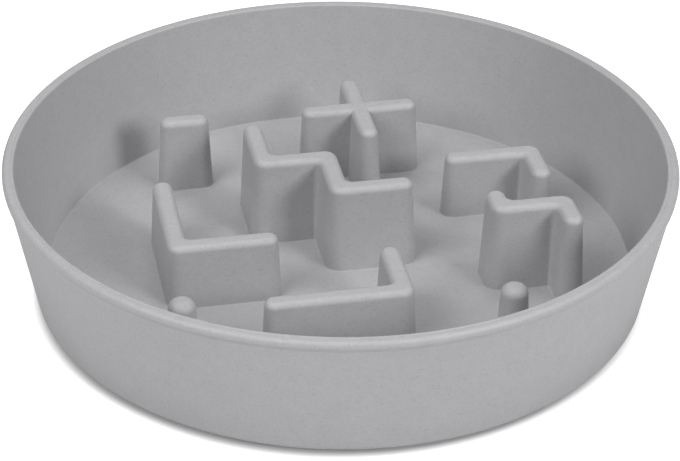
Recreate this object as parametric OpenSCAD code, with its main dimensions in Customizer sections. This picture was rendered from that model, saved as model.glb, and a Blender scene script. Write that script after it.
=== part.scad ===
// Slow feeder bowl: a round, drafted bowl whose floor carries a maze of hollow ridges and two pegs.
// It stands on rubber pads set into the underside of its floor.
// Origin: middle of the base, on the surface the pads stand on. +Z is up, and the long ridges
// run along X and Y.

/* [Bowl] */
// Diameter over the lip of the rim
rim_d = 250; // [236:1:290]
// Height of the moulding, from its base edge to the top of its rim
bowl_h = 51.8; // [46:0.1:75]
// Width of the rim, over its flat top and its two shoulders
rim_w = 4.3; // [3.2:0.1:6]
// Radius of the rim's outer shoulder
rim_round_r = 1.5; // [0.5:0.1:1.6]
// Radius of the rim's inner shoulder
rim_inner_round_r = 0.8; // [0.3:0.1:1.5]
// How far the lip stands out from the wall
lip_out = 0.3; // [0:0.1:1.5]
// Height of the lip below the top of the rim
lip_h = 2; // [1.8:0.1:8]
// Height over which the wall flares out into the lip
lip_flare_h = 2.5; // [0.5:0.1:6]
// Diameter of the floor, out to the foot of the wall
floor_d = 221; // [212:1:226]
// Height of the floor's top above the base edge
floor_h = 4.7; // [4:0.1:10]
// Thickness of the floor
floor_t = 3.2; // [2:0.1:3.4]
// Radius of the fillet between the floor and the wall
floor_fillet_r = 0.5; // [0.3:0.1:6]
// Width of the ring that the wall stands on
base_ring_w = 4.5; // [3.5:0.1:7]
// Radius of the base edge's rounding
base_round_r = 2.4; // [0.3:0.1:3]

/* [Ridges] */
// Width across the top of a ridge, where its sides begin
ridge_top_w = 7.5; // [6:0.1:9]
// Radius of the two shoulders along a ridge's top
ridge_round_r = 2.5; // [1:0.1:2.9]
// Wall of a hollow ridge
ridge_wall = 2.4; // [1.6:0.1:2.6]
// Draft of every ridge and peg, in degrees
draft = 3; // [1:0.5:4]
// Radius of the inner side of a bend, at the foot of the ridge
bend_inside_r = 1; // [0.2:0.1:2]
// Radius of the outer corner of a bend, at the ridge's shoulders
bend_outside_r = 5; // [4.5:0.125:5.5]
// Height of the tall ridges above the floor
tall_h = 34.7; // [28:0.1:38]
// Height of the middle ridges above the floor
middle_h = 30; // [24:0.1:36]
// Height of the low ridges above the floor
low_h = 25.6; // [20:0.1:32]

/* [Pegs] */
// Diameter across the top of a peg, where its side begins
peg_d = 10; // [8:0.1:12]
// Radius of the rounding around a peg's top
peg_round_r = 3.5; // [1:0.1:3.9]
// Height of the pegs above the floor
peg_h = 24.9; // [18:0.1:32]

/* [Pads] */
// Diameter of a rubber pad
pad_d = 13; // [8:0.5:16]
// How far the pads hold the base edge off the ground
pad_stand = 0.8; // [0.5:0.1:2]
// Depth of the pocket that each pad is set into
pad_pocket = 0.5; // [0.2:0.1:1]
// Gap around a pad in its pocket
pad_gap = 0.2; // [0.1:0.05:0.4]
// Rounding of a pad's lower edge
pad_round_r = 0.6; // [0.2:0.1:0.8]

/* [Hidden] */
$fn = 96;

// Cuts reach this far past the face that they open
overrun = 1;
// Places and bends of the ridges are rounded to this step, an eighth, so that runs and bends meet exactly
plan_step = 0.125;
// Straight pieces in each rounding of the bowl's outline
arc_steps = 6;
// Share of a cavity's half width that is rounded at its top
cavity_round_share = 0.7;
// The side of a section passes this far inside the circle of its shoulder, so that the two cross
tuck = 0.02;
// How far below its middle a shoulder's circle is kept, as a share of its radius
shoulder_below_share = 0.5;
// Distance from the foot of the wall to the middle of a pad, as a share of the pad's diameter
pad_inset_share = 0.75;

rim_r = rim_d / 2;
floor_r = floor_d / 2;
base_r = floor_r + base_ring_w;
base_z = pad_stand;
floor_z = base_z + floor_h;
underside_z = floor_z - floor_t;
top_z = base_z + bowl_h;
inner_shoulder_z = top_z - rim_inner_round_r;
pad_count = 6;
pad_ring_r = floor_r - pad_d * pad_inset_share;

// Plans of the ridges, as middle lines, and of the pegs, in shares of the floor's radius
stair_shares = [[-0.233, 0.41], [-0.233, 0.184], [-0.011, 0.184], [-0.011, -0.035], [0.208, -0.035]];
cross_wide_shares = [[0.006, 0.577], [0.355, 0.577]];
cross_deep_shares = [[0.18, 0.748], [0.18, 0.404]];
bar_shares = [[-0.505, 0.594], [-0.4, 0.594]];
left_corner_shares = [[-0.582, 0.213], [-0.582, -0.172], [-0.278, -0.172]];
front_corner_shares = [[-0.321, -0.557], [0.103, -0.557], [0.103, -0.333]];
right_corner_shares = [[0.455, 0.235], [0.73, 0.235], [0.73, 0.089]];
right_step_shares = [[0.498, -0.176], [0.498, -0.248], [0.715, -0.248], [0.715, -0.358]];
left_peg_share = [-0.612, -0.496];
right_peg_share = [0.457, -0.602];

// A length rounded to the step of the plans
function stepped(v) = plan_step * round(v / plan_step);

// A place given as shares of the floor's radius, and a path of such places
function place(share) = [stepped(floor_r * share.x), stepped(floor_r * share.y)];
function path(shares) = [for (share = shares) place(share)];

stair_paths = [path(stair_shares)];
cross_paths = [path(cross_wide_shares), path(cross_deep_shares)];
bar_paths = [path(bar_shares)];
left_corner_paths = [path(left_corner_shares)];
front_corner_paths = [path(front_corner_shares)];
right_corner_paths = [path(right_corner_shares)];
right_step_paths = [path(right_step_shares)];

bowl_colour = "#a6a6a8";
rubber_colour = "#3c3c3e";

// Points along an arc about c, from angle a to angle b
function arc(c, r, a, b) =
    [for (k = [0:arc_steps]) c + r * [cos(a + (b - a) * k / arc_steps), sin(a + (b - a) * k / arc_steps)]];

// A unit vector at angle a, and the one to its left
function along(a) = [cos(a), sin(a)];
function left_of(a) = [-sin(a), cos(a)];

// Half width of a drafted section, at a depth below the middle of its shoulders
function half_w(top_w, depth) = top_w / 2 - tuck + depth * tan(draft);

// Radius of the bends along the middle line of a ridge of height h
function bend_r(h) = stepped(half_w(ridge_top_w, h - ridge_round_r) + bend_inside_r);

// Direction of run i of a path, and the turn from run i - 1 to run i, positive to the left
function heading(path, i) = atan2(path[i + 1].y - path[i].y, path[i + 1].x - path[i].x);
function turn(path, i) =
    let (t = heading(path, i) - heading(path, i - 1)) t > 180 ? t - 360 : t < -180 ? t + 360 : t;

// Length that the right-angled bend at point i takes from the runs on both sides
function bend_take(path, i, r) = i == 0 || i == len(path) - 1 ? 0 : r;

// Half of a section, from its middle out: a drafted side under a rounded shoulder
module half_section(top_w, round_r, h, below) {
    flat = top_w / 2 - round_r;
    middle_z = h - round_r;
    side = half_w(top_w, 0);
    foot = half_w(top_w, middle_z + below);
    polygon([[0, -below], [foot, -below], [side, middle_z], [flat, middle_z], [flat, h], [0, h]]);
    intersection() {
        translate([flat, middle_z]) circle(r = round_r);
        translate([flat, middle_z - shoulder_below_share * round_r]) square(2 * round_r);
    }
}

module full_section(top_w, round_r, h, below) {
    half_section(top_w, round_r, h, below);
    mirror([1, 0]) half_section(top_w, round_r, h, below);
}

// A right-angled bend about its hub. The inner side turns about the hub, and the outer side about a corner
// of its own, whose radius is less by the wall in a cavity.
module bend(r, top_w, round_r, h, below) {
    middle = (top_w / 2 - round_r) / 2;
    corner_r = stepped(bend_outside_r - (ridge_top_w - top_w) / 2);
    corner = r + top_w / 2 - corner_r;
    rotate_extrude(angle = 90) translate([r, 0]) {
        mirror([1, 0]) half_section(top_w, round_r, h, below);
        translate([-middle, -below]) square([2 * middle, h + below]);
    }
    translate([0, 0, -below]) linear_extrude(h + below) difference() {
        union() {
            square([r + middle, corner]);
            square([corner, r + middle]);
        }
        circle(r = r - middle);
    }
    translate([r, corner, 0]) rotate([90, 0, 0])
        linear_extrude(corner) half_section(top_w, round_r, h, below);
    translate([0, r, 0]) rotate([90, 0, 90])
        linear_extrude(corner) half_section(top_w, round_r, h, below);
    translate([corner, corner, 0]) rotate_extrude(angle = 90)
        half_section(2 * corner_r, round_r, h, below);
}

// A drafted ridge along a path: straight runs, right-angled bends of radius r and round ends
module swept(path, r, top_w, round_r, h, below) {
    last = len(path) - 1;
    for (i = [0:last - 1]) {
        start = bend_take(path, i, r);
        run = norm(path[i + 1] - path[i]) - start - bend_take(path, i + 1, r);
        translate(path[i]) rotate(heading(path, i)) translate([start, 0, 0])
            rotate([90, 0, 90]) linear_extrude(run) full_section(top_w, round_r, h, below);
    }
    for (i = [1:1:last - 1]) {
        side = sign(turn(path, i));
        in_angle = heading(path, i - 1);
        centre = path[i] - bend_take(path, i, r) * along(in_angle) + side * r * left_of(in_angle);
        from = side > 0 ? in_angle - 90 : heading(path, i) + 90;
        translate(centre) rotate(from) bend(r, top_w, round_r, h, below);
    }
    translate(path[0]) rotate(heading(path, 0) + 90)
        rotate_extrude(angle = 180) half_section(top_w, round_r, h, below);
    translate(path[last]) rotate(heading(path, last - 1) - 90)
        rotate_extrude(angle = 180) half_section(top_w, round_r, h, below);
}

// The hollow inside a ridge, open below
module ridge_cavity(paths, h, below) {
    top_w = ridge_top_w - 2 * ridge_wall;
    for (path = paths) swept(path, bend_r(h), top_w, cavity_round_share * top_w / 2, h - ridge_wall, below);
}

// A hollow ridge of height h, standing on the floor
module ridge(paths, h) {
    color(bowl_colour) translate([0, 0, floor_z]) difference() {
        for (path = paths) swept(path, bend_r(h), ridge_top_w, ridge_round_r, h, 0);
        ridge_cavity(paths, h, overrun);
    }
}

// The hollow inside a peg, open below
module peg_cavity(centre, below) {
    top_w = peg_d - 2 * ridge_wall;
    translate(centre) rotate_extrude()
        half_section(top_w, cavity_round_share * top_w / 2, peg_h - ridge_wall, below);
}

// A hollow peg, standing on the floor
module peg(centre) {
    color(bowl_colour) translate([0, 0, floor_z]) difference() {
        translate(centre) rotate_extrude() half_section(peg_d, peg_round_r, peg_h, 0);
        peg_cavity(centre, overrun);
    }
}

// Radii of the inner and the outer wall at height z, as straight lines before any rounding
function inner_wall_r(z) = floor_r + (rim_r - rim_w - floor_r) * (z - floor_z) / (top_z - floor_z);
function outer_wall_r(z) = base_r + (rim_r - lip_out - base_r) * (z - base_z) / (top_z - base_z);

// Slopes of the two walls from the level, in degrees
inner_slope = atan2(top_z - floor_z, rim_r - rim_w - floor_r);
outer_slope = atan2(top_z - base_z, rim_r - lip_out - base_r);

// The flare under the lip, from the lip down to the wall
function flare() = [
    for (k = [0:arc_steps])
        let (t = k / arc_steps, z = top_z - lip_h - t * lip_flare_h)
            [outer_wall_r(z) + (rim_r - outer_wall_r(z)) * (1 + cos(180 * t)) / 2, z]
];

// Outline of the bowl, out from its middle: floor, inner wall, rim, outer wall and base ring
function bowl_outline() = concat(
    [[0, underside_z], [0, floor_z]],
    arc([floor_r - floor_fillet_r * tan(inner_slope / 2), floor_z + floor_fillet_r],
        floor_fillet_r, -90, inner_slope - 90),
    arc([inner_wall_r(inner_shoulder_z) + rim_inner_round_r / sin(inner_slope), inner_shoulder_z],
        rim_inner_round_r, inner_slope + 90, 90),
    arc([rim_r - rim_round_r, top_z - rim_round_r], rim_round_r, 90, 0),
    flare(),
    arc([base_r - base_round_r * tan(outer_slope / 2), base_z + base_round_r],
        base_round_r, outer_slope - 90, -90),
    [[floor_r, base_z], [floor_r, underside_z]]
);

// Place of pad i on its ring
function pad_place(i) = pad_ring_r * along(i * 360 / pad_count);

module pad_pockets() {
    for (i = [0:pad_count - 1])
        translate(concat(pad_place(i), underside_z - overrun))
            cylinder(d = pad_d + 2 * pad_gap, h = overrun + pad_pocket);
}

module bowl_shell() {
    color(bowl_colour) difference() {
        rotate_extrude() polygon(bowl_outline());
        translate([0, 0, floor_z]) {
            ridge_cavity(stair_paths, tall_h, floor_t + overrun);
            ridge_cavity(cross_paths, middle_h, floor_t + overrun);
            ridge_cavity(bar_paths, middle_h, floor_t + overrun);
            ridge_cavity(left_corner_paths, low_h, floor_t + overrun);
            ridge_cavity(front_corner_paths, low_h, floor_t + overrun);
            ridge_cavity(right_corner_paths, low_h, floor_t + overrun);
            ridge_cavity(right_step_paths, tall_h, floor_t + overrun);
            peg_cavity(place(left_peg_share), floor_t + overrun);
            peg_cavity(place(right_peg_share), floor_t + overrun);
        }
        pad_pockets();
    }
}

// A rubber pad, from the ground up to the roof of its pocket
module foot_pad(i) {
    pad_top = underside_z + pad_pocket;
    edge = arc([pad_d / 2 - pad_round_r, pad_round_r], pad_round_r, -90, 0);
    color(rubber_colour) translate(pad_place(i))
        rotate_extrude() polygon(concat([[0, 0]], edge, [[pad_d / 2, pad_top], [0, pad_top]]));
}

bowl_shell();
ridge(stair_paths, tall_h);  // stair_ridge
ridge(cross_paths, middle_h);  // cross_ridge
ridge(bar_paths, middle_h);  // back_left_bar
ridge(left_corner_paths, low_h);  // left_corner_ridge
ridge(front_corner_paths, low_h);  // front_corner_ridge
ridge(right_corner_paths, low_h);  // right_corner_ridge
ridge(right_step_paths, tall_h);  // right_step_ridge
peg(place(left_peg_share));  // left_peg
peg(place(right_peg_share));  // right_peg
foot_pad(0);  // foot_pad_1
foot_pad(1);  // foot_pad_2
foot_pad(2);  // foot_pad_3
foot_pad(3);  // foot_pad_4
foot_pad(4);  // foot_pad_5
foot_pad(5);  // foot_pad_6
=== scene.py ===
"""A slow feeder bowl: one matte, speckled light grey moulding with a maze of ridges, on rubber pads."""
import math

import bmesh
import bpy
from mathutils import Matrix, Vector


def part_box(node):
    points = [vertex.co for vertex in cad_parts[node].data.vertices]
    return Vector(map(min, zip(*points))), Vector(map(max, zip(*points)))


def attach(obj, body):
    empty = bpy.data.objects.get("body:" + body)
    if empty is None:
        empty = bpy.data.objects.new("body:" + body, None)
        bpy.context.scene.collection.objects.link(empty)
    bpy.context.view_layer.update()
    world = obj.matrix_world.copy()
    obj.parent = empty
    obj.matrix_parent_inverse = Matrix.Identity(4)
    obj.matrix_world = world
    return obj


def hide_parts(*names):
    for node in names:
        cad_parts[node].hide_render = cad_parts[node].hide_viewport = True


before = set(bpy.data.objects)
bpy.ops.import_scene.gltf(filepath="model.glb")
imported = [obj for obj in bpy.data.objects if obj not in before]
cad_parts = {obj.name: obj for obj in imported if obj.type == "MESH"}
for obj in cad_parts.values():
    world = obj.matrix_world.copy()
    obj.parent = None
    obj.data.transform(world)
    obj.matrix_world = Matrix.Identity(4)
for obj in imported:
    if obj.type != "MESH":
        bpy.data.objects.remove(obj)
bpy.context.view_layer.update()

MM = 0.001
UP = Vector((0, 0, 1))

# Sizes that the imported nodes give
shell_low, shell_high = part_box("bowl_shell")
pad_low, pad_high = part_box("foot_pad_1")
RIM_R = shell_high.x
TOP_Z = shell_high.z
BASE_Z = shell_low.z
FLOOR_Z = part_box("stair_ridge")[0].z
PAD_R = (pad_high.x - pad_low.x) / 2
PAD_RING_R = (pad_high.x + pad_low.x) / 2
PAD_TOP_Z = pad_high.z

# The bowl
FLOOR_R = 110.5 * MM
FLOOR_T = 3.2 * MM
FLOOR_FILLET_R = 0.5 * MM
BASE_RING_W = 4.5 * MM
BASE_R = FLOOR_R + BASE_RING_W
BASE_ROUND_R = 2.4 * MM
RIM_W = 4.3 * MM
RIM_ROUND_R = 1.5 * MM
RIM_INNER_ROUND_R = 0.8 * MM
RIM_LINE_IN = 1.3 * MM
RIM_LINE_W = 0.45 * MM
RIM_LINE_DEPTH = 0.12 * MM
LIP_OUT = 0.3 * MM
LIP_H = 2 * MM
LIP_FLARE_H = 2.5 * MM
RECESS_ROUND_R = 0.5 * MM
UNDERSIDE_Z = FLOOR_Z - FLOOR_T

# The ridges and the pegs
DRAFT_DEGREES = 3
DRAFT = math.radians(DRAFT_DEGREES)
RIDGE_TOP_W = 7.5 * MM
RIDGE_ROUND_R = 2.5 * MM
RIDGE_WALL = 2.4 * MM
BEND_INSIDE_R = 1 * MM
BEND_OUTSIDE_R = 5 * MM
BEND_TUCK = 0.02 * MM
PLAN_STEP = 0.125 * MM
HOLLOW_ROUND_SHARE = 0.7
FOOT_FILLET_R = 0.4 * MM
SLOT_ROUND_END_DEGREES = 258
PEG_D = 10 * MM
PEG_ROUND_R = 3.5 * MM
SEAM_LIFT = 0.01 * MM
SINK = 0.3 * MM
OVERRUN = 1 * MM

# The pads
PAD_COUNT = 6
PAD_GAP = 0.2 * MM
PAD_ROUND_R = 0.6 * MM
PAD_DISH_R_SHARE = 0.62
PAD_DISH_DEPTH = 0.25 * MM

# How finely the meshes are divided
BOWL_AROUND = 256
PEG_AROUND = 64
CAP_STEPS = 24
BEND_STEPS = 16
BEND_STRAIGHT_SHARE = 0.25
SHOULDER_STEPS = 10
EDGE_STEPS = 8
SMALL_STEPS = 5
PAD_ROUND_STEPS = 6
FLARE_STEPS = 10
SUPPORT = 0.15 * MM
SUPPORTED_FROM = 4 * SUPPORT
MERGE_DISTANCE = 0.0005 * MM
SHARP_ANGLE = math.radians(35)

# Plans of the ridges, as middle lines, and of the pegs, in shares of the floor's radius
PLAN_SHARES = {
    "stair_ridge": [
        [(-0.233, 0.41), (-0.233, 0.184), (-0.011, 0.184), (-0.011, -0.035), (0.208, -0.035)],
    ],
    "cross_ridge": [[(0.006, 0.577), (0.355, 0.577)], [(0.18, 0.748), (0.18, 0.404)]],
    "back_left_bar": [[(-0.505, 0.594), (-0.4, 0.594)]],
    "left_corner_ridge": [[(-0.582, 0.213), (-0.582, -0.172), (-0.278, -0.172)]],
    "front_corner_ridge": [[(-0.321, -0.557), (0.103, -0.557), (0.103, -0.333)]],
    "right_corner_ridge": [[(0.455, 0.235), (0.73, 0.235), (0.73, 0.089)]],
    "right_step_ridge": [[(0.498, -0.176), (0.498, -0.248), (0.715, -0.248), (0.715, -0.358)]],
}
PEG_SHARES = {"left_peg": (-0.612, -0.496), "right_peg": (0.457, -0.602)}

# The plastic: its two greys, its patterns' sizes, and how far each moves the tone between the greys
PLASTIC_DARK = (0.30, 0.298, 0.307, 1)
PLASTIC_PALE = (0.50, 0.4965, 0.5115, 1)
MIDDLE_TONE = 0.5
NOISE_MIDDLE = 0.5
DARK_SPECK_SPACING = 1.5 * MM
DARK_SPECK_R = 0.42 * MM
DARK_SPECK_TONE = 0.24
PALE_SPECK_SPACING = 1.3 * MM
PALE_SPECK_R = 0.40 * MM
PALE_SPECK_TURN = (0.7, 0.4, 0.2)
PALE_SPECK_TONE = 0.13
SPECK_SHARE = 0.5
SPECK_SHARE_BLUR = 0.01
SPECK_CORE = 0.6
FIBRE_W = 0.55 * MM
FIBRE_STRETCH = (0.22, 1, 1)
FIBRE_TURNS = [(0, 0, 0.6), (0.9, 0.3, 0), (0.2, 1.1, 1.9)]
FIBRE_FROM = 0.66
FIBRE_FULL = 0.76
FIBRE_TONE = 0.22
CLOUD_SIZE = 6 * MM
CLOUD_TONE = 0.22
MOTTLE_SIZE = 1.3 * MM
MOTTLE_TONE = 0.15
GRAIN_SIZE = 0.45 * MM
GRAIN_TONE = 0.26
PLASTIC_ROUGHNESS = 0.52
CLOUD_ROUGHNESS = 0.12
GRAIN_ROUGHNESS = 0.08
PLASTIC_SHEEN = 0.4
FINE_BUMP_SIZE = 0.3 * MM
COARSE_BUMP_SIZE = 1.4 * MM
COARSE_BUMP_SHARE = 0.5
PLASTIC_BUMP_H = 0.03 * MM
PLASTIC_BUMP_STRENGTH = 0.25

# The pads' rubber
RUBBER_DARK = (0.035, 0.035, 0.037, 1)
RUBBER_DUSTY = (0.075, 0.074, 0.072, 1)
DUST_SIZE = 2.5 * MM
DUST_RAGGEDNESS = 0.65
DUST_FROM = 0.45
DUST_FULL = 0.8
RUBBER_GRAIN_SIZE = 0.25 * MM
RUBBER_ROUGHNESS = 0.74
DUST_ROUGHNESS = 0.14
RUBBER_BUMP_H = 0.05 * MM
RUBBER_BUMP_STRENGTH = 0.3

# The ground: its grey and its glow as the camera sees it, in a ring of painted shade at the bowl's edge and
# beyond it
GROUND_SIZE = 6
GROUND_LIT_GREY = 0.8
# Painted shade: the ring round the bowl's edge is a darker grey, on top of the shadow that really falls
# there
SHADE_GREY = 0.25
SHADE_GLOW = 0.15
WHITE_GREY = 1
WHITE_GLOW = 0.45
# The ring of painted shade is centred a little towards the camera
SHADE_CENTRE = Vector((-1.5, -2.8, 0)) * MM
SHADE_R = BASE_R - 4.2 * MM
WHITE_R = BASE_R + 2 * MM

# Light: each lamp's azimuth and elevation in degrees, its width and height in metres, and its level
SURROUND = 0.03
LAMP_DISTANCE = 2
LAMPS = {
    "key_softbox": (-52, 30, 0.6, 0.55, 0.46),
    "high_softbox": (-25, 50, 1.1, 1.2, 0.2),
    "left_softbox": (-149, 43, 1.2, 1.4, 0.66),
    "top_softbox": (90, 84, 1.2, 1.2, 0.35),
    "back_softbox": (90, 30, 1.0, 1.0, 0.08),
}

# The photograph's camera, with its roll in degrees
CAMERA_PLACE = Vector((-150.9, -755.4, 500.5)) * MM
CAMERA_AIM = Vector((0, 0, 18.02)) * MM
CAMERA_ROLL = 0.5534
CAMERA_LENS = 127.06
CAMERA_SENSOR_W = 36


# Outlines and closed meshes

def arc(centre, radius, start, end, steps):
    """Points along an arc, with its angles in degrees."""
    angles = [math.radians(start + (end - start) * k / steps) for k in range(steps + 1)]
    return [(centre[0] + radius * math.cos(a), centre[1] + radius * math.sin(a)) for a in angles]


def supported(points):
    """The points, and one more close to each end of every long straight stretch, which keeps flats flat."""
    out = [points[0]]
    for (x0, z0), (x1, z1) in zip(points[:-1], points[1:]):
        length = math.hypot(x1 - x0, z1 - z0)
        if length > SUPPORTED_FROM:
            t = SUPPORT / length
            out.append((x0 + t * (x1 - x0), z0 + t * (z1 - z0)))
            out.append((x1 - t * (x1 - x0), z1 - t * (z1 - z0)))
        out.append((x1, z1))
    return out


def closed_bmesh(bm):
    """The bmesh with its doubles merged and its faces turned outwards."""
    bmesh.ops.remove_doubles(bm, verts=bm.verts, dist=MERGE_DISTANCE)
    bmesh.ops.recalc_face_normals(bm, faces=bm.faces)
    return bm


def revolved(points, steps, centre=(0, 0)):
    """A closed bmesh: an outline of radii and heights, turned once around a vertical line."""
    bm = bmesh.new()
    verts = [bm.verts.new((centre[0] + r, centre[1], z)) for r, z in points]
    edges = [bm.edges.new(pair) for pair in zip(verts[:-1], verts[1:])]
    bmesh.ops.spin(bm, geom=verts + edges, cent=(*centre, 0), axis=UP, dvec=(0, 0, 0),
                   angle=2 * math.pi, steps=steps, use_merge=True)
    return closed_bmesh(bm)


def combined(bm, other, operation):
    """Joins or cuts one closed bmesh with another, by the exact solver."""
    objects = []
    for part in (bm, other):
        mesh = bpy.data.meshes.new("part")
        part.to_mesh(mesh)
        part.free()
        objects.append(bpy.data.objects.new("part", mesh))
        bpy.context.scene.collection.objects.link(objects[-1])
    modifier = objects[0].modifiers.new("solver", "BOOLEAN")
    modifier.object = objects[1]
    modifier.operation = operation
    modifier.solver = "EXACT"
    evaluated = objects[0].evaluated_get(bpy.context.evaluated_depsgraph_get())
    result = bmesh.new()
    result.from_mesh(evaluated.to_mesh())
    evaluated.to_mesh_clear()
    for part in objects:
        mesh = part.data
        bpy.data.objects.remove(part)
        bpy.data.meshes.remove(mesh)
    return result


# Sections of the ridges and the pegs

def half_w(top_w, depth):
    """Half width of a drafted section, at a depth below the middle of its shoulders."""
    return top_w / 2 + depth * math.tan(DRAFT)


def shoulder(top_w, round_r, top_z):
    """The top of a section, from its middle out over its shoulder to where its side begins."""
    flat = top_w / 2 - round_r
    return [(0, top_z)] + arc((flat, top_z - round_r), round_r, 90, DRAFT_DEGREES, SHOULDER_STEPS)


def outside(top_w, round_r, top_z):
    """The outside of a section, from its top's middle down to a small fillet on the floor."""
    fillet_z = FLOOR_Z + SEAM_LIFT + FOOT_FILLET_R
    start_z = fillet_z - FOOT_FILLET_R * math.sin(DRAFT)
    fillet_x = half_w(top_w, top_z - round_r - start_z) + FOOT_FILLET_R * math.cos(DRAFT)
    fillet = arc((fillet_x, fillet_z), FOOT_FILLET_R, 180 + DRAFT_DEGREES, 270, SMALL_STEPS)
    return shoulder(top_w, round_r, top_z) + fillet


def inside(top_w, top_z, foot_z):
    """The outline of a section's hollow, from its roof's middle down."""
    hollow_w = top_w - 2 * RIDGE_WALL
    roof_z = top_z - RIDGE_WALL
    round_r = HOLLOW_ROUND_SHARE * hollow_w / 2
    return shoulder(hollow_w, round_r, roof_z) + [(half_w(hollow_w, roof_z - round_r - foot_z), foot_z)]


def slot_section(top_w, top_z):
    """Half of the cut that a hollow makes through the floor, rounded where it opens below."""
    low = inside(top_w, top_z, UNDERSIDE_Z + RECESS_ROUND_R)[-1]
    high = inside(top_w, top_z, FLOOR_Z + OVERRUN)[-1]
    mouth = arc((low[0] + RECESS_ROUND_R, low[1]), RECESS_ROUND_R, 180, SLOT_ROUND_END_DEGREES, SMALL_STEPS)
    below = (mouth[-1][0], UNDERSIDE_Z - OVERRUN)
    return [(0, high[1]), high] + mouth + [below, (0, below[1])]


# Paths of the ridges

def stepped(value):
    """The value, rounded to the step of the plan."""
    return PLAN_STEP * round(value / PLAN_STEP)


def place(share):
    """A point of the plan."""
    return Vector((stepped(FLOOR_R * share[0]), stepped(FLOOR_R * share[1]), 0))


def bend_r(top_z):
    """Radius of the middle line in the bends of a ridge, which leaves a small inside radius at its foot."""
    return stepped(half_w(RIDGE_TOP_W, top_z - FLOOR_Z - RIDGE_ROUND_R) - BEND_TUCK + BEND_INSIDE_R)


def bend_place(x, radius, out, share):
    """Where a point x outside the middle line is, at a share of a right-angled bend, as its hub sees it.

    The inner side turns about the hub, and the outer side about a corner, radius + out along both runs.
    """
    if x < 0:
        a = share * math.pi / 2
        return (radius + x) * math.cos(a), (radius + x) * math.sin(a)
    corner = radius + min(x, out)
    rounding = radius + x - corner
    if share < BEND_STRAIGHT_SHARE:
        return radius + x, corner * share / BEND_STRAIGHT_SHARE
    if share > 1 - BEND_STRAIGHT_SHARE:
        return corner * (1 - share) / BEND_STRAIGHT_SHARE, radius + x
    a = (share - BEND_STRAIGHT_SHARE) / (1 - 2 * BEND_STRAIGHT_SHARE) * math.pi / 2
    return corner + rounding * math.cos(a), corner + rounding * math.sin(a)


def across_run(at, side):
    """Gives the place of each point of a section that stands across a run."""
    return lambda x: at + x * side


def across_bend(start, head, side, turn, radius, out, share):
    """Gives the place of each point of a section, at a share of the bend that begins at start."""
    hub = start + turn * radius * side

    def placed(x):
        across, ahead = bend_place(-turn * x, radius, out, share)
        return hub - turn * across * side + ahead * head

    return placed


def extruded(bm, loop, placed):
    """Extrudes a loop of edges and places each new vertex by its offset in the section."""
    geom = bmesh.ops.extrude_edge_only(bm, edges=loop)["geom"]
    offset = bm.verts.layers.float["offset"]
    verts = [g for g in geom if isinstance(g, bmesh.types.BMVert)]
    for vert in verts:
        vert.co = placed(vert[offset]) + vert.co.z * UP
    return [g for g in geom if isinstance(g, bmesh.types.BMEdge) and set(g.verts) <= set(verts)]


def capped(bm, loop, at, side, turn):
    """Rounds an end of a ridge by turning one half of its section through half a turn."""
    half = [e for e in loop if ((e.verts[0].co + e.verts[1].co) / 2 - at).dot(side) > 0]
    verts = list({v for e in half for v in e.verts})
    bmesh.ops.spin(bm, geom=verts + half, cent=at, axis=UP, dvec=(0, 0, 0), angle=turn, steps=CAP_STEPS)


def swept(path, half, radius, out):
    """Carries a section along a path of straight runs and bends, and rounds both ends."""
    bm = bmesh.new()
    offset = bm.verts.layers.float.new("offset")
    heads = [(b - a).normalized() for a, b in zip(path[:-1], path[1:])]
    side = UP.cross(heads[0])
    verts = []
    for x, z in list(half) + [(-x, z) for x, z in half[-2:0:-1]]:
        verts.append(bm.verts.new(path[0] + x * side + z * UP))
        verts[-1][offset] = x
    loop = [bm.edges.new(pair) for pair in zip(verts, verts[1:] + verts[:1])]
    capped(bm, loop, path[0], side, math.pi)
    for corner, head, next_head in zip(path[1:], heads, heads[1:]):
        side = UP.cross(head)
        start = corner - radius * head
        loop = extruded(bm, loop, across_run(start, side))
        turn = math.copysign(1, head.cross(next_head).z)
        for k in range(1, BEND_STEPS + 1):
            placed = across_bend(start, head, side, turn, radius, out, k / BEND_STEPS)
            loop = extruded(bm, loop, placed)
    side = UP.cross(heads[-1])
    loop = extruded(bm, loop, across_run(path[-1], side))
    capped(bm, loop, path[-1], side, -math.pi)
    return closed_bmesh(bm)


def united(paths, half, radius, wall=0):
    """A closed bmesh of a section carried along each of the paths, a wall's thickness inside the ridge."""
    out = RIDGE_TOP_W / 2 - wall - stepped(BEND_OUTSIDE_R - wall)
    bm = swept(paths[0], half, radius, out)
    for path in paths[1:]:
        bm = combined(bm, swept(path, half, radius, out), "UNION")
    return bm


# Finishes

# Numbers of the Mix node's sockets for colours
MIX_FACTOR = 0
MIX_FIRST = 6
MIX_SECOND = 7
MIX_COLOUR = 2


class Value:
    """A node's output whose sums add Math nodes."""

    def __init__(self, shader, socket):
        self.shader = shader
        self.socket = socket

    def math(self, operation, first, second):
        return self.shader.node("Math", {"operation": operation}, {0: first, 1: second})

    def __add__(self, other):
        return self.math("ADD", self, other)

    def __sub__(self, other):
        return self.math("SUBTRACT", self, other)

    def __rsub__(self, other):
        return self.math("SUBTRACT", other, self)

    def __mul__(self, other):
        return self.math("MULTIPLY", self, other)

    __radd__ = __add__
    __rmul__ = __mul__


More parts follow.
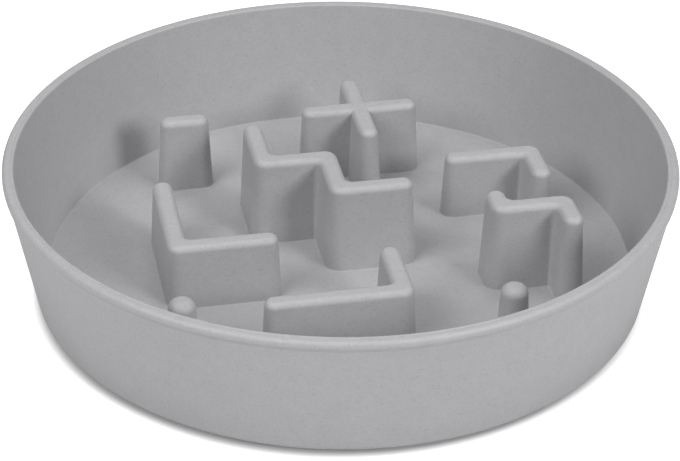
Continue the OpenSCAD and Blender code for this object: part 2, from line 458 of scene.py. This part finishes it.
class Shader:
    """The nodes of a material or of the world."""

    def __init__(self, tree):
        self.tree = tree
        self.tree.nodes.clear()

    def node(self, kind, settings=None, inputs=None, output=0):
        """Adds one node, with its settings and the values or links of its sockets."""
        made = self.tree.nodes.new("ShaderNode" + kind)
        for key, value in (settings or {}).items():
            setattr(made, key, value)
        for key, value in (inputs or {}).items():
            if isinstance(value, Value):
                self.tree.links.new(value.socket, made.inputs[key])
            else:
                made.inputs[key].default_value = value
        return Value(self, made.outputs[output]) if made.outputs else made

    def place(self, stretch=(1, 1, 1), turn=(0, 0, 0)):
        """Object coordinates, turned and stretched."""
        at = self.node("TexCoord", output="Object")
        return self.node("Mapping", inputs={"Vector": at, "Rotation": turn, "Scale": stretch})

    def noise(self, at, size, detail=2, roughness=0.5):
        """Noise whose patches are about the given size across."""
        return self.node("TexNoise", inputs={"Vector": at, "Scale": 1 / size, "Detail": detail,
                                             "Roughness": roughness})

    def between(self, value, low, high):
        """0 below low, 1 above high and smooth in between."""
        return self.node("MapRange", {"interpolation_type": "SMOOTHSTEP"},
                         {"Value": value, "From Min": low, "From Max": high})

    def specks(self, at, spacing, radius):
        """Round specks, one in some of the cells of a lattice."""
        cell = {"Vector": at, "Scale": 1 / spacing, "Randomness": 1}
        distance = self.node("TexVoronoi", inputs=cell, output="Distance")
        colour = self.node("TexVoronoi", inputs=cell, output="Color")
        chance = self.node("SeparateColor", inputs={"Color": colour})
        near = 1 - self.between(distance, SPECK_CORE * radius / spacing, radius / spacing)
        return near * self.between(chance, 1 - SPECK_SHARE, 1 - SPECK_SHARE + SPECK_SHARE_BLUR)

    def colours(self, factor, first, second):
        """One colour where the factor is 0, the other where it is 1."""
        sockets = {MIX_FACTOR: factor, MIX_FIRST: first, MIX_SECOND: second}
        return self.node("Mix", {"data_type": "RGBA"}, sockets, output=MIX_COLOUR)

    def surface(self, inputs):
        """Ends a material in one surface with the given sockets."""
        self.node("OutputMaterial", inputs={"Surface": self.node("BsdfPrincipled", inputs=inputs)})


def new_material(name):
    """A material, and the shader that is to fill it."""
    material = bpy.data.materials.new(name)
    material.use_nodes = True
    return material, Shader(material.node_tree)


def speckled_plastic(name):
    """Matte light grey plastic with plant fibre in it: dark and pale specks, short fibres, soft clouds."""
    material, shader = new_material(name)
    at = shader.place()
    dark = shader.specks(at, DARK_SPECK_SPACING, DARK_SPECK_R)
    pale = shader.specks(shader.place(turn=PALE_SPECK_TURN), PALE_SPECK_SPACING, PALE_SPECK_R)
    fibres = 0
    for turn in FIBRE_TURNS:
        strands = shader.noise(shader.place(stretch=FIBRE_STRETCH, turn=turn), FIBRE_W, detail=1)
        fibres = shader.between(strands, FIBRE_FROM, FIBRE_FULL) + fibres
    clouds = shader.noise(at, CLOUD_SIZE, detail=3) - NOISE_MIDDLE
    mottle = shader.noise(at, MOTTLE_SIZE, detail=1) - NOISE_MIDDLE
    grain = shader.noise(at, GRAIN_SIZE) - NOISE_MIDDLE
    tone = MIDDLE_TONE + GRAIN_TONE * grain + MOTTLE_TONE * mottle + CLOUD_TONE * clouds
    tone = tone + PALE_SPECK_TONE * pale - DARK_SPECK_TONE * dark - FIBRE_TONE * fibres
    height = shader.noise(at, FINE_BUMP_SIZE, detail=3)
    height = height + COARSE_BUMP_SHARE * shader.noise(at, COARSE_BUMP_SIZE, detail=1)
    bump = {"Strength": PLASTIC_BUMP_STRENGTH, "Distance": PLASTIC_BUMP_H, "Height": height}
    shader.surface({
        "Base Color": shader.colours(tone, PLASTIC_DARK, PLASTIC_PALE),
        "Roughness": PLASTIC_ROUGHNESS + CLOUD_ROUGHNESS * clouds + GRAIN_ROUGHNESS * grain,
        "Normal": shader.node("Bump", inputs=bump),
        "Specular IOR Level": PLASTIC_SHEEN,
    })
    return material


def pad_rubber(name):
    """Matte dark grey rubber with a fine grain and a little dust."""
    material, shader = new_material(name)
    at = shader.place()
    dust = shader.noise(at, DUST_SIZE, detail=4, roughness=DUST_RAGGEDNESS)
    grain = shader.noise(at, RUBBER_GRAIN_SIZE)
    bump = {"Strength": RUBBER_BUMP_STRENGTH, "Distance": RUBBER_BUMP_H, "Height": grain}
    shader.surface({
        "Base Color": shader.colours(shader.between(dust, DUST_FROM, DUST_FULL), RUBBER_DARK, RUBBER_DUSTY),
        "Roughness": RUBBER_ROUGHNESS + DUST_ROUGHNESS * (dust - NOISE_MIDDLE),
        "Normal": shader.node("Bump", inputs=bump),
    })
    return material


PLASTIC = "speckled_grey_plastic"
RUBBER = "rubber_pad"
FINISHES = {PLASTIC: speckled_plastic(PLASTIC), RUBBER: pad_rubber(RUBBER)}


# The pieces

def finished(name, bm, slot):
    """Makes a bmesh a smooth-shaded piece that stands for the node of the same name."""
    closed_bmesh(bm)
    mesh = bpy.data.meshes.new(name + "_form")
    bm.to_mesh(mesh)
    bm.free()
    mesh.shade_smooth()
    mesh.set_sharp_from_angle(angle=SHARP_ANGLE)
    mesh.materials.append(FINISHES[slot])
    piece = bpy.data.objects.new(name + "_form", mesh)
    bpy.context.scene.collection.objects.link(piece)
    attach(piece, "root")
    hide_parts(name)


def ridge(name, paths):
    """A hollow ridge that stands on the floor, with a small fillet at its foot."""
    top_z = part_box(name)[1].z
    radius = bend_r(top_z)
    outer = outside(RIDGE_TOP_W, RIDGE_ROUND_R, top_z)
    outer = supported(outer + [(outer[-1][0], FLOOR_Z - SINK)]) + [(0, FLOOR_Z - SINK)]
    hollow = supported(inside(RIDGE_TOP_W, top_z, FLOOR_Z - SINK - OVERRUN))
    hollow = hollow + [(0, hollow[-1][1])]
    bm = combined(united(paths, outer, radius), united(paths, hollow, radius, RIDGE_WALL), "DIFFERENCE")
    finished(name, bm, PLASTIC)


def peg(name, centre):
    """A hollow peg, with a small fillet at its foot."""
    top_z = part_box(name)[1].z
    outer = outside(PEG_D, PEG_ROUND_R, top_z)
    foot = (outer[-1][0], FLOOR_Z - SINK)
    outline = supported(outer + [foot] + inside(PEG_D, top_z, FLOOR_Z)[::-1])
    finished(name, revolved(outline, PEG_AROUND, centre), PLASTIC)


def pad_centre(k):
    """The middle of one of the pads."""
    turn = 2 * math.pi * k / PAD_COUNT
    return PAD_RING_R * math.cos(turn), PAD_RING_R * math.sin(turn)


def pad(name, centre):
    """A rubber pad with a rounded lower edge and a shallow dish that grips like a sucker."""
    dish_r = PAD_DISH_R_SHARE * PAD_R - PAD_DISH_DEPTH
    outline = [(0, PAD_DISH_DEPTH)] + arc((dish_r, 0), PAD_DISH_DEPTH, 90, 0, SMALL_STEPS)
    outline += arc((PAD_R - PAD_ROUND_R, PAD_ROUND_R), PAD_ROUND_R, -90, 0, PAD_ROUND_STEPS)
    outline += [(PAD_R, PAD_TOP_Z), (0, PAD_TOP_Z)]
    finished(name, revolved(supported(outline), PEG_AROUND, centre), RUBBER)


def wall_r(foot_r, top_r, z, foot_z):
    """Radius of a straight wall at height z."""
    return foot_r + (top_r - foot_r) * (z - foot_z) / (TOP_Z - foot_z)


def rim_line(rim_in_r):
    """A fine groove round the top of the rim."""
    points = []
    for k in range(EDGE_STEPS + 1):
        t = k / EDGE_STEPS
        dip = RIM_LINE_DEPTH * (1 - math.cos(2 * math.pi * t)) / 2
        points.append((rim_in_r + RIM_LINE_IN + (t - 0.5) * RIM_LINE_W, TOP_Z - dip))
    return points


def lip_flare(rim_out_r):
    """The smooth step by which the lip stands out of the wall."""
    points = []
    for k in range(FLARE_STEPS + 1):
        t = k / FLARE_STEPS
        z = TOP_Z - LIP_H - t * LIP_FLARE_H
        wall = wall_r(BASE_R, rim_out_r, z, BASE_Z)
        points.append((wall + (RIM_R - wall) * (1 + math.cos(math.pi * t)) / 2, z))
    return points


def bowl_outline():
    """From the middle of the floor out over the wall and the rim, and back under the floor."""
    rim_in_r = RIM_R - RIM_W
    rim_out_r = RIM_R - LIP_OUT
    inner_slope = math.atan2(TOP_Z - FLOOR_Z, rim_in_r - FLOOR_R)
    outer_slope = math.atan2(TOP_Z - BASE_Z, rim_out_r - BASE_R)
    inner = math.degrees(inner_slope)
    outer = math.degrees(outer_slope)
    corner_r = FLOOR_R - FLOOR_FILLET_R * math.tan(inner_slope / 2)
    shoulder_z = TOP_Z - RIM_INNER_ROUND_R
    shoulder_r = wall_r(FLOOR_R, rim_in_r, shoulder_z, FLOOR_Z) + RIM_INNER_ROUND_R / math.sin(inner_slope)
    base_round_r = BASE_R - BASE_ROUND_R * math.tan(outer_slope / 2)
    ring_z = BASE_Z + RECESS_ROUND_R
    recess_z = UNDERSIDE_Z - RECESS_ROUND_R
    return [
        (0, FLOOR_Z),
        *arc((corner_r, FLOOR_Z + FLOOR_FILLET_R), FLOOR_FILLET_R, -90, inner - 90, EDGE_STEPS),
        *arc((shoulder_r, shoulder_z), RIM_INNER_ROUND_R, inner + 90, 90, EDGE_STEPS),
        *rim_line(rim_in_r),
        *arc((RIM_R - RIM_ROUND_R, TOP_Z - RIM_ROUND_R), RIM_ROUND_R, 90, 0, SHOULDER_STEPS),
        *lip_flare(rim_out_r),
        *arc((base_round_r, BASE_Z + BASE_ROUND_R), BASE_ROUND_R, outer - 90, -90, EDGE_STEPS),
        *arc((FLOOR_R + RECESS_ROUND_R, ring_z), RECESS_ROUND_R, -90, -180, SMALL_STEPS),
        *arc((FLOOR_R - RECESS_ROUND_R, recess_z), RECESS_ROUND_R, 0, 90, SMALL_STEPS),
        (0, UNDERSIDE_Z),
    ]


def bowl():
    """The bowl, with a slot under each ridge and peg and a pocket for each pad."""
    bm = revolved(supported(bowl_outline()), BOWL_AROUND)
    for name, paths in PATHS.items():
        top_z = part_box(name)[1].z
        cut = united(paths, slot_section(RIDGE_TOP_W, top_z), bend_r(top_z), RIDGE_WALL)
        bm = combined(bm, cut, "DIFFERENCE")
    for name, centre in PEG_PLACES.items():
        cut = revolved(slot_section(PEG_D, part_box(name)[1].z), PEG_AROUND, centre)
        bm = combined(bm, cut, "DIFFERENCE")
    pocket_r = PAD_R + PAD_GAP
    below_z = UNDERSIDE_Z - OVERRUN
    pocket = [(0, below_z), (pocket_r, below_z), (pocket_r, PAD_TOP_Z), (0, PAD_TOP_Z)]
    for centre in PAD_PLACES.values():
        bm = combined(bm, revolved(pocket, PEG_AROUND, centre), "DIFFERENCE")
    finished("bowl_shell", bm, PLASTIC)


PATHS = {name: [[place(share) for share in path] for path in paths] for name, paths in PLAN_SHARES.items()}
PEG_PLACES = {name: place(share)[:2] for name, share in PEG_SHARES.items()}
PAD_PLACES = {f"foot_pad_{k + 1}": pad_centre(k) for k in range(PAD_COUNT)}

bowl()
for name, paths in PATHS.items():
    ridge(name, paths)
for name, centre in PEG_PLACES.items():
    peg(name, centre)
for name, centre in PAD_PLACES.items():
    pad(name, centre)


# Ground, light and camera

def ground():
    """A pale ground that shows white to the camera, with a ring of painted shade, a darker grey, at the
    bowl's edge over its real shadow.
    """
    material, shader = new_material("pale_floor")

    def sheet(grey, glow):
        """A matt grey that also glows a little."""
        matt = shader.node("BsdfDiffuse", inputs={"Color": (grey, grey, grey, 1)})
        light = shader.node("Emission", inputs={"Color": (1, 1, 1, 1), "Strength": glow})
        return shader.node("AddShader", inputs={0: matt, 1: light})

    lit_grey = (GROUND_LIT_GREY, GROUND_LIT_GREY, GROUND_LIT_GREY, 1)
    lit = shader.node("BsdfDiffuse", inputs={"Color": lit_grey})
    at = shader.node("TexCoord", output="Object")
    away = shader.node("VectorMath", {"operation": "DISTANCE"}, {0: at, 1: SHADE_CENTRE}, output="Value")
    # Painted shade: to the camera the ground turns from a darker grey at the bowl's edge to white further
    # out
    fade = shader.between(away, SHADE_R, WHITE_R)
    shade = sheet(SHADE_GREY, SHADE_GLOW)
    white = sheet(WHITE_GREY, WHITE_GLOW)
    shown = shader.node("MixShader", inputs={0: fade, 1: shade, 2: white})
    seen = shader.node("LightPath", output="Is Camera Ray")
    surface = shader.node("MixShader", inputs={0: seen, 1: lit, 2: shown})
    shader.node("OutputMaterial", inputs={"Surface": surface})
    bm = bmesh.new()
    bmesh.ops.create_grid(bm, x_segments=1, y_segments=1, size=GROUND_SIZE / 2)
    mesh = bpy.data.meshes.new("floor")
    bm.to_mesh(mesh)
    bm.free()
    mesh.materials.append(material)
    floor = bpy.data.objects.new("floor", mesh)
    bpy.context.scene.collection.objects.link(floor)


def surround():
    """A faint even light from all around, shown to the camera as plain white."""
    world = bpy.data.worlds.new("surround")
    world.use_nodes = True
    bpy.context.scene.world = world
    shader = Shader(world.node_tree)
    seen = shader.node("LightPath", output="Is Camera Ray")
    strength = SURROUND + (1 - SURROUND) * seen
    surface = shader.node("Background", inputs={"Color": (1, 1, 1, 1), "Strength": strength})
    shader.node("OutputWorld", inputs={"Surface": surface})


def softbox(name, azimuth, elevation, width, height, level):
    """A rectangular lamp aimed at the bowl. A white face turned to it renders at its level."""
    a = math.radians(azimuth)
    e = math.radians(elevation)
    away = Vector((math.cos(e) * math.cos(a), math.cos(e) * math.sin(a), math.sin(e)))
    lamp = bpy.data.lights.new(name, "AREA")
    lamp.shape = "RECTANGLE"
    lamp.size = width
    lamp.size_y = height
    lamp.energy = level * (math.pi * LAMP_DISTANCE) ** 2
    rig = bpy.data.objects.new(name, lamp)
    rig.location = away * LAMP_DISTANCE
    rig.rotation_euler = away.to_track_quat("Z", "Y").to_euler()
    bpy.context.scene.collection.objects.link(rig)


def camera():
    """The photograph's viewpoint: its place, aim, roll and lens."""
    forward = (CAMERA_AIM - CAMERA_PLACE).normalized()
    right = forward.cross(UP).normalized()
    up = right.cross(forward)
    roll = math.radians(CAMERA_ROLL)
    rolled_right = math.cos(roll) * right + math.sin(roll) * up
    rolled_up = math.cos(roll) * up - math.sin(roll) * right
    data = bpy.data.cameras.new("camera")
    data.sensor_fit = "HORIZONTAL"
    data.sensor_width = CAMERA_SENSOR_W
    data.lens = CAMERA_LENS
    rig = bpy.data.objects.new("camera", data)
    turn = Matrix((rolled_right, rolled_up, -forward)).transposed()
    rig.matrix_world = Matrix.Translation(CAMERA_PLACE) @ turn.to_4x4()
    bpy.context.scene.collection.objects.link(rig)
    bpy.context.scene.camera = rig


ground()
surround()
for name, lamp in LAMPS.items():
    softbox(name, *lamp)
camera()
bpy.context.scene.view_settings.view_transform = "Standard"
